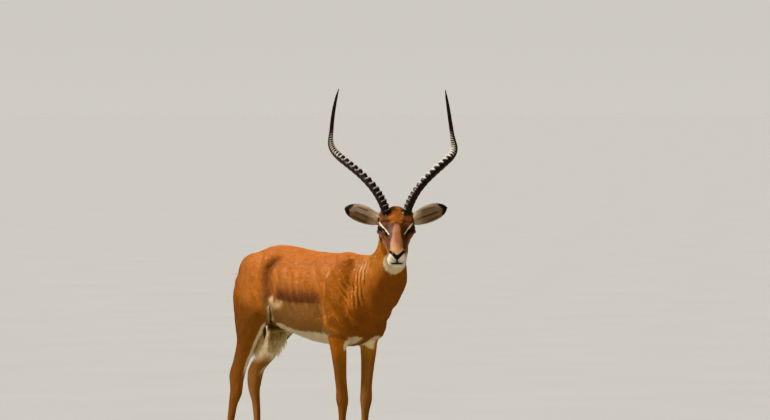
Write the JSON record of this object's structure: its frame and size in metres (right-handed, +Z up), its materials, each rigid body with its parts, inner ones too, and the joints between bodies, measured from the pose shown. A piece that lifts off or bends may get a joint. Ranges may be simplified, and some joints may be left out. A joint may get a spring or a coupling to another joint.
{
  "type": "impala ram figure",
  "caption": "Life-size still figure of a standing impala ram, head turned to its right, with ringed lyre-shaped horns, cupped ears, slender legs and cloven hooves.",
  "frame": {"origin": "on the floor under the middle of the figure's bounding box", "axes": "+X towards the chest along the trunk, +Y to the animal's left, +Z up; the head faces 39 degrees to the right of +X"},
  "size_m": [1.138, 0.4228, 1.4447],
  "materials": {
    "red_coat": "short glossy hair, red-brown",
    "fawn_coat": "short hair, fawn",
    "ear_coat": "thin skin with short pale hair",
    "white_coat": "long white hair",
    "horn_sheath": "dark ridged horn, polished at the tips",
    "eye_gloss": "wet and glossy",
    "hoof_horn": "black hoof horn, satin",
    "dark_skin": "bare grey skin"
  },
  "bodies": {
    "root": {"ear_left": "ear_coat", "ear_right": "ear_coat", "eye_left": "eye_gloss", "eye_right": "eye_gloss", "head": "red_coat", "hoof_front_left_inner": "hoof_horn", "hoof_front_left_outer": "hoof_horn", "hoof_front_right_inner": "hoof_horn", "hoof_front_right_outer": "hoof_horn", "hoof_hind_left_inner": "hoof_horn", "hoof_hind_left_outer": "hoof_horn", "hoof_hind_right_inner": "hoof_horn", "hoof_hind_right_outer": "hoof_horn", "horn_left": "horn_sheath", "horn_right": "horn_sheath", "leg_front_left": "fawn_coat", "leg_front_right": "fawn_coat", "leg_hind_left": "fawn_coat", "leg_hind_right": "fawn_coat", "neck": "red_coat", "scrotum": "dark_skin", "tail": "white_coat", "trunk": "red_coat"}
  },
  "joints": []
}
